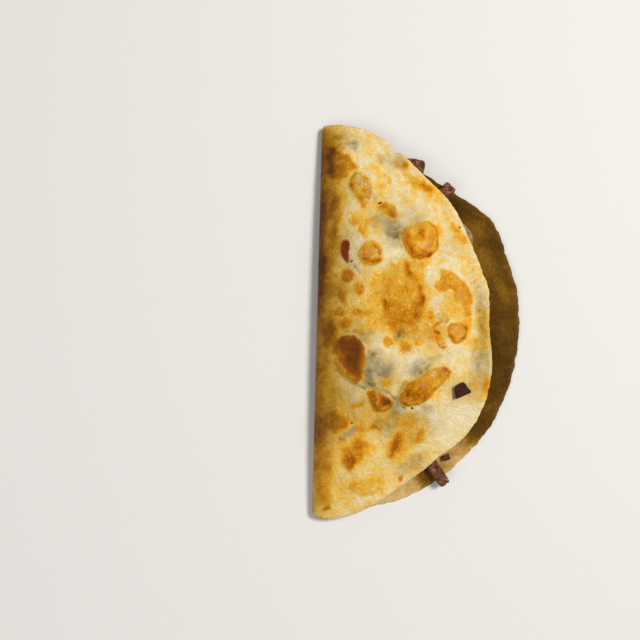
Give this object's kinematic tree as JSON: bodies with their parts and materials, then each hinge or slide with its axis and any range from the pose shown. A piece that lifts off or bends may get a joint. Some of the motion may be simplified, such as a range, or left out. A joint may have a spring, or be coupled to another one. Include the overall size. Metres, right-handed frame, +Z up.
{
  "type": "quesadilla",
  "caption": "Flour tortilla folded into a half-moon over melted cheese and chopped steak, blistered and browned, lying flat with its open side showing the filling.",
  "frame": {"origin": "centre of the bounding box, on the flat underside that it rests on", "axes": "+Y along the fold, +X from the fold towards the open rounded side, +Z up through the upper leaf"},
  "size_m": [0.097, 0.188, 0.0177],
  "materials": {
    "tortilla": "griddled flour tortilla, matt with a slight oily sheen, cream with golden to dark brown blisters",
    "melted_cheese": "melted cheese, pale and satin",
    "steak": "grilled chopped steak, brown and moist",
    "seared_steak": "seared steak crumb, very dark and dry"
  },
  "bodies": {
    "root": {"tortilla": "tortilla", "filling": "melted_cheese", "steak_strip": "steak", "steak_corner": "steak", "steak_edge": "steak", "steak_bit": "steak", "steak_crumb": "seared_steak"}
  },
  "joints": []
}
